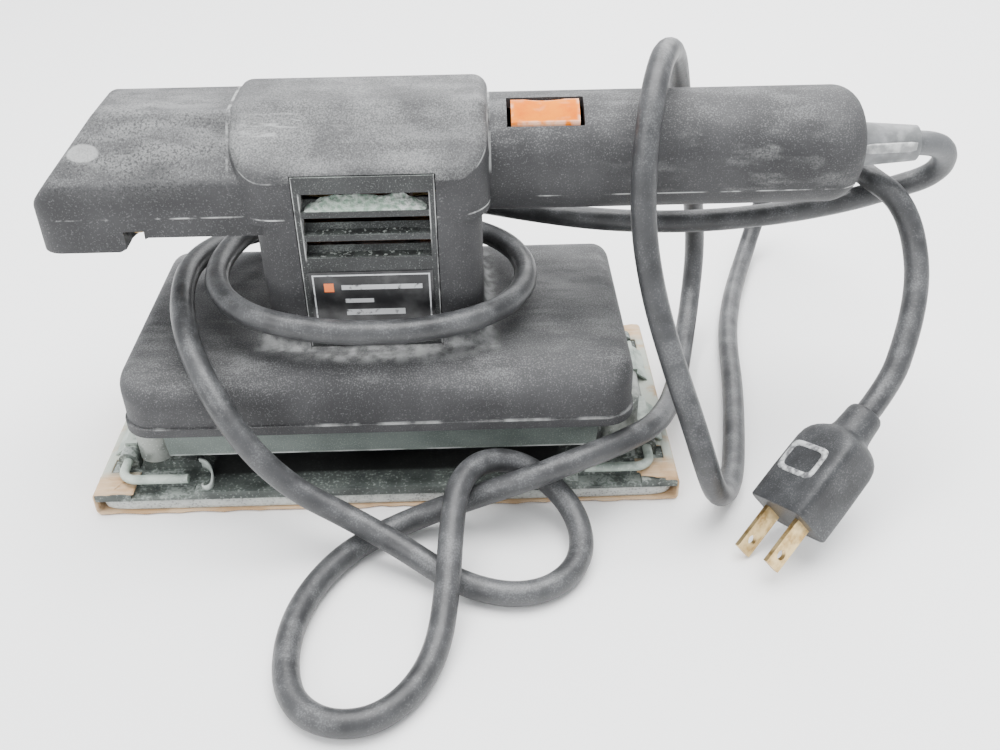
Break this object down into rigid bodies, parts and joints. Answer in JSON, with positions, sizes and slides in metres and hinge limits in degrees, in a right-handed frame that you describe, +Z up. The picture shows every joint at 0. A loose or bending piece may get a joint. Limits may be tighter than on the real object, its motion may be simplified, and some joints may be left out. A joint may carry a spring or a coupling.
{
  "type": "orbital_sander",
  "caption": "Third-sheet orbital finishing sander with front knob, rear handle, wrapped power cord and two-blade plug",
  "frame": {"origin": "middle of the sanding face, under the motor shaft", "axes": "X along the tool from front knob to cord, Y to the far side, Z up from the sanding face"},
  "size_m": [0.2821, 0.2645, 0.1341],
  "materials": {
    "housing_plastic": "charcoal moulded plastic, fine grain, grey dust on top",
    "skirt_plastic": "dark green-grey moulded plastic, dusty",
    "panel_plastic": "dark moulded plastic",
    "label_film": "printed film, thin silver border and plain stripes",
    "brass_screws": "dull brass",
    "lamination_steel": "stacked steel sheets",
    "copper_winding": "varnished copper wire",
    "carbon": "pressed carbon",
    "bright_steel": "ground steel",
    "boot_rubber": "worn grey rubber with a pale rib",
    "cord_rubber": "dark grey rubber, dusty soft sheen",
    "lead_insulation": "thin wire insulation",
    "plug_vinyl": "dark grey moulded vinyl",
    "blade_brass": "worn brass",
    "cast_steel": "cast weight, as cast",
    "fan_aluminium": "die cast",
    "platen_paint": "green-grey coating, chalky dust",
    "pad_foam": "light grey foam",
    "sand_paper": "tan paper with a grit face, torn ends, pale dust",
    "post_rubber": "rubber under chalky dust",
    "spring_steel": "coiled wire, dusty",
    "clamp_zinc": "pale zinc plate under dust",
    "switch_orange": "bright orange, dusty rim"
  },
  "bodies": {
    "housing": {"lower_housing": "housing_plastic", "upper_cover": "housing_plastic", "dust_skirt": "skirt_plastic", "vent_panel_near": "panel_plastic", "vent_panel_far": "panel_plastic", "label_plate": "label_film", "cover_screws": "brass_screws", "stator_core": "lamination_steel", "field_coils": "copper_winding", "carbon_brushes": "carbon", "brush_holders": "brass_screws", "brush_springs": "bright_steel", "lower_bearing_outer": "bright_steel", "lower_bearing_balls": "bright_steel", "upper_bearing_outer": "bright_steel", "upper_bearing_balls": "bright_steel", "switch_body": "panel_plastic", "strain_relief": "boot_rubber", "cord_tail": "cord_rubber", "cord_clamp": "panel_plastic", "clamp_screws": "bright_steel", "internal_leads": "lead_insulation", "power_cord": "cord_rubber", "plug_body": "plug_vinyl", "plug_blades": "blade_brass"},
    "armature": {"motor_shaft": "bright_steel", "eccentric_pin": "bright_steel", "eccentric_screw": "bright_steel", "counterweight": "cast_steel", "cooling_fan": "fan_aluminium", "armature_core": "lamination_steel", "armature_windings": "copper_winding", "commutator": "copper_winding", "lower_bearing_inner": "bright_steel", "upper_bearing_inner": "bright_steel", "platen_bearing_inner": "bright_steel"},
    "platen": {"platen": "platen_paint", "sanding_pad": "pad_foam", "sanding_sheet": "sand_paper", "support_posts": "post_rubber", "post_screws": "bright_steel", "platen_bearing_outer": "bright_steel", "platen_bearing_balls": "bright_steel", "front_clamp_spring": "spring_steel", "rear_clamp_spring": "spring_steel"},
    "front_clamp": {"front_clamp_lever": "clamp_zinc", "front_clamp_jaw": "clamp_zinc"},
    "rear_clamp": {"rear_clamp_lever": "clamp_zinc", "rear_clamp_jaw": "clamp_zinc"},
    "switch": {"switch_button": "switch_orange"}
  },
  "joints": [
    {"name": "armature_spin", "type": "hinge", "parent": "housing", "child": "armature", "pos_m": [0, 0, 0.05], "axis": [0, 0, 1], "continuous": true},
    {"name": "platen_orbit", "type": "hinge", "parent": "armature", "child": "platen", "pos_m": [0.0008, 0, 0.015], "axis": [0, 0, 1], "continuous": true},
    {"name": "front_clamp_lift", "type": "hinge", "parent": "platen", "child": "front_clamp", "pos_m": [-0.0842, 0, 0.0112], "axis": [0, 1, 0], "range_deg": [0, 9], "stiffness_Nm_per_rad": 0.3},
    {"name": "rear_clamp_lift", "type": "hinge", "parent": "platen", "child": "rear_clamp", "pos_m": [0.0858, 0, 0.0112], "axis": [0, -1, 0], "range_deg": [0, 9], "stiffness_Nm_per_rad": 0.3},
    {"name": "switch_rock", "type": "hinge", "parent": "housing", "child": "switch", "pos_m": [0.0526, -0.00785, 0.113], "axis": [0, 1, 0], "range_deg": [0, 9]}
  ],
  "couplings": [
    {"joint": "platen_orbit", "follows": "armature_spin", "ratio": -1}
  ]
}
